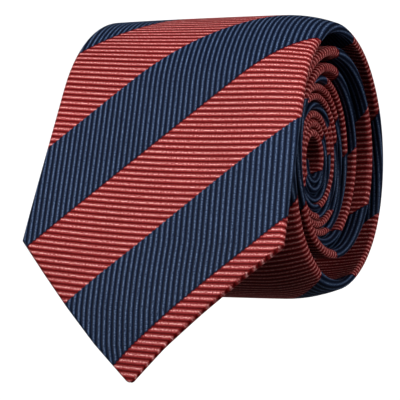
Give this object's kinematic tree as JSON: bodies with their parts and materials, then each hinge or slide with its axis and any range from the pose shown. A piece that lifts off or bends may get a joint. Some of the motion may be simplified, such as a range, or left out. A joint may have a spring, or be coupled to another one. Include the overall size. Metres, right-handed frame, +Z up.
{
  "type": "necktie",
  "caption": "Man's striped silk necktie rolled up from its narrow end and standing on the roll's end, with its pointed blade left free and hinged where it leaves the roll.",
  "frame": {"origin": "middle of the bounding box's bottom face, on the surface the roll stands on", "axes": "+Z up along the axis of the roll, +X the way the free blade runs away from the roll, -Y the front, which the free blade's face looks to"},
  "size_m": [0.1343, 0.0942, 0.08],
  "materials": {
    "silk": "ribbed silk twill, navy and red diagonal stripes",
    "lining": "smooth satin",
    "wool": "brushed wool",
    "thread": "matt thread",
    "label": "woven, blank"
  },
  "bodies": {
    "roll": {"blade_shell_wound": "silk", "neck_shell": "silk", "tail_shell": "silk", "neck_seam": "thread", "tail_seam": "thread", "interlining_wound": "wool", "tipping_wound": "lining", "tail_tipping": "lining", "keeper_loop": "silk", "woven_label": "label", "care_tab": "label", "keeper_stitch_upper": "thread", "keeper_stitch_lower": "thread", "label_stitch_front": "thread", "label_stitch_rear": "thread", "care_tab_stitch": "thread", "blade_bar_tack": "thread", "tail_bar_tack": "thread", "slip_stitch_thread": "thread"},
    "free_blade": {"blade_shell_free": "silk", "interlining_free": "wool", "tipping_free": "lining"}
  },
  "joints": [
    {"name": "blade_lift", "type": "hinge", "parent": "roll", "child": "free_blade", "pos_m": [-0.01184, -0.0459, 0.04], "axis": [0, 0, -1], "range_deg": [-4, 75], "stiffness_Nm_per_rad": 0.002}
  ]
}
